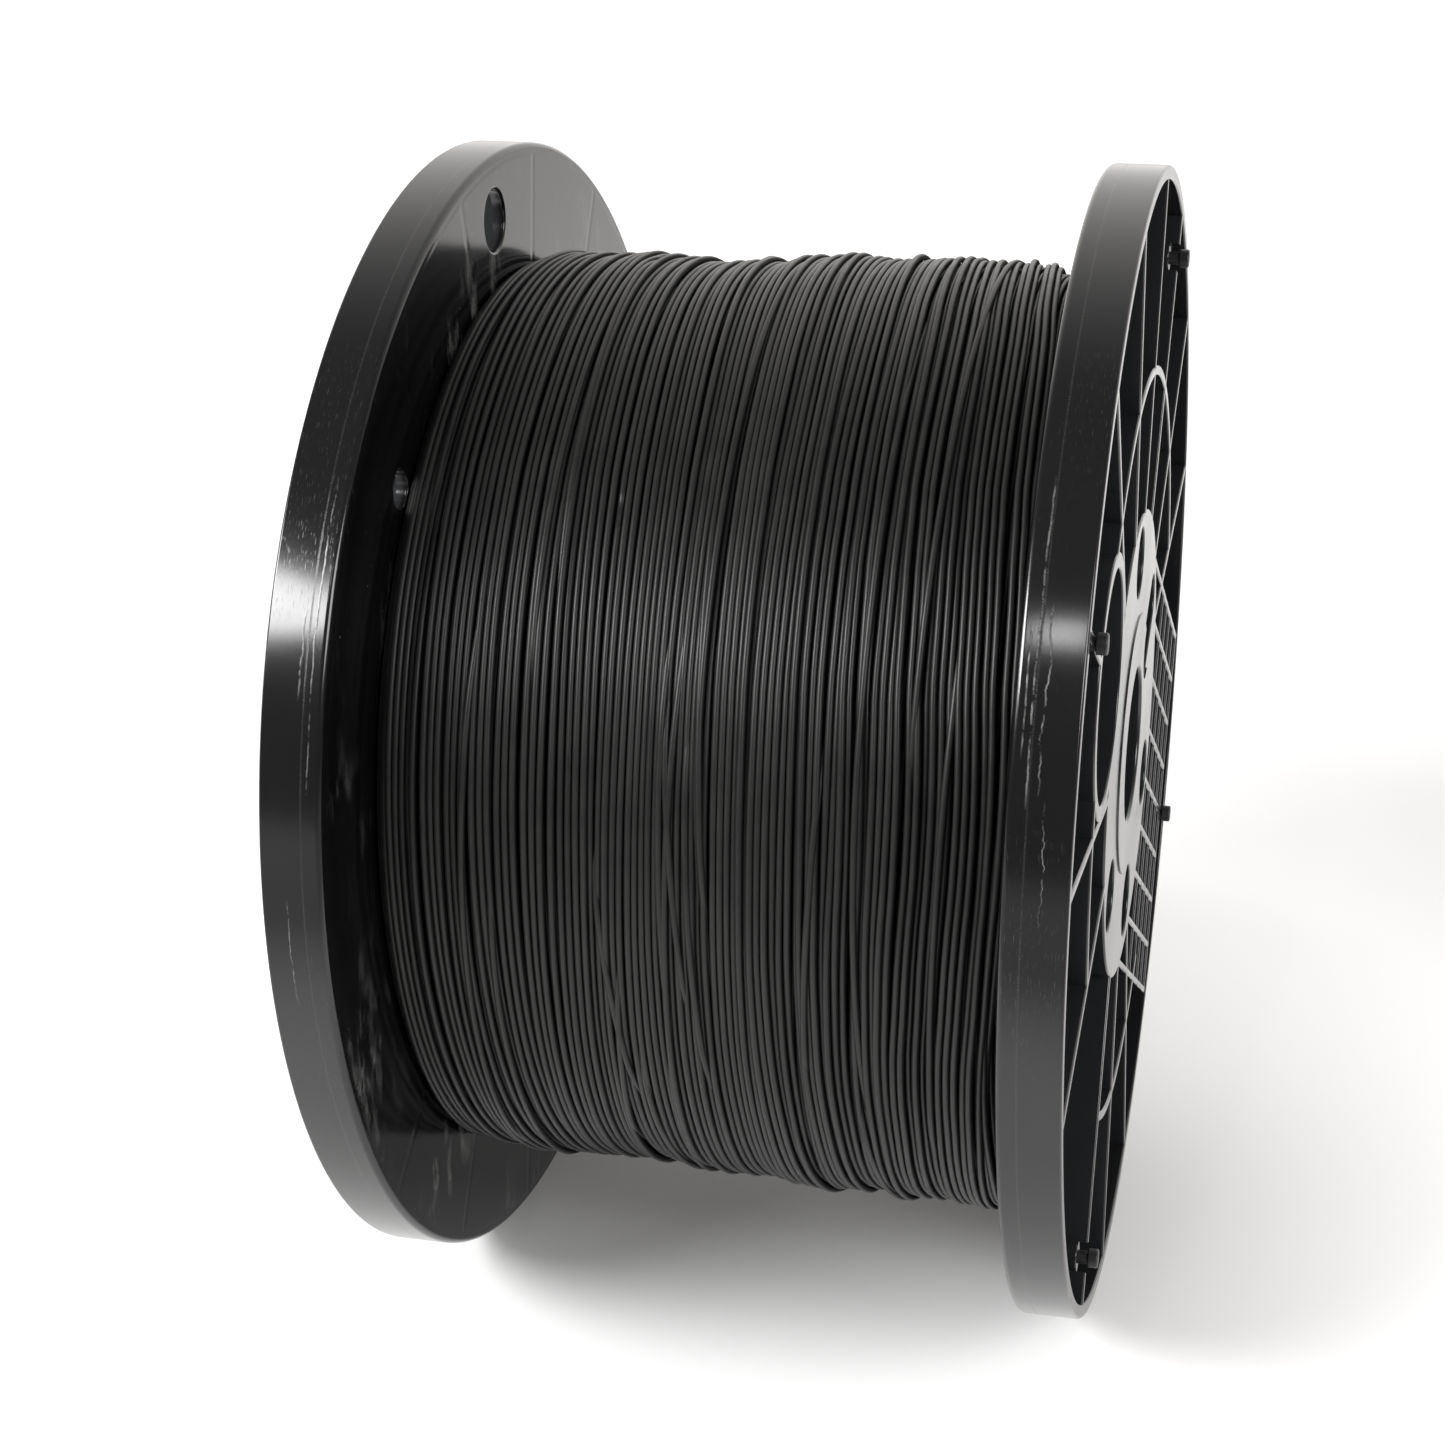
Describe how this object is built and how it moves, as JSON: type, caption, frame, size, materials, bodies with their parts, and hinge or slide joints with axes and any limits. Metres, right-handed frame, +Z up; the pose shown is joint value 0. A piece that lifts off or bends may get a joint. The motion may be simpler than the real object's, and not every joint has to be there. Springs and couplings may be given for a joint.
{
  "type": "filament spool",
  "caption": "Large filament spool: ribbed plastic flanges clamped on a barrel by tie bolts, holding a full winding of filament.",
  "frame": {"origin": "centre of the spool on its axis, midway between the flanges", "axes": "+X along the spool's axis, out of the flange that faces right; +Z up, as it stands on its rims"},
  "size_m": [0.1878, 0.3, 0.3],
  "materials": {
    "flange_plastic": "black moulded polystyrene, semi-gloss, scuffed along the rim",
    "barrel_plastic": "black moulded plastic tube, satin",
    "pin_plastic": "black nylon, satin",
    "filament": "dark grey-black printing filament, satin strands",
    "zinc_steel": "dull zinc-plated steel"
  },
  "bodies": {
    "root": {"right_flange": "flange_plastic", "left_flange": "flange_plastic", "barrel": "barrel_plastic", "filament_winding": "filament", "right_stacking_pin_1": "pin_plastic", "right_stacking_pin_2": "pin_plastic", "right_stacking_pin_3": "pin_plastic", "right_stacking_pin_4": "pin_plastic", "left_stacking_pin_1": "pin_plastic", "left_stacking_pin_2": "pin_plastic", "left_stacking_pin_3": "pin_plastic", "left_stacking_pin_4": "pin_plastic", "tie_bolt_1": "zinc_steel", "tie_bolt_2": "zinc_steel", "tie_bolt_3": "zinc_steel", "tie_nut_1": "zinc_steel", "tie_nut_2": "zinc_steel", "tie_nut_3": "zinc_steel", "bolt_washer_1": "zinc_steel", "bolt_washer_2": "zinc_steel", "bolt_washer_3": "zinc_steel", "nut_washer_1": "zinc_steel", "nut_washer_2": "zinc_steel", "nut_washer_3": "zinc_steel"}
  },
  "joints": []
}
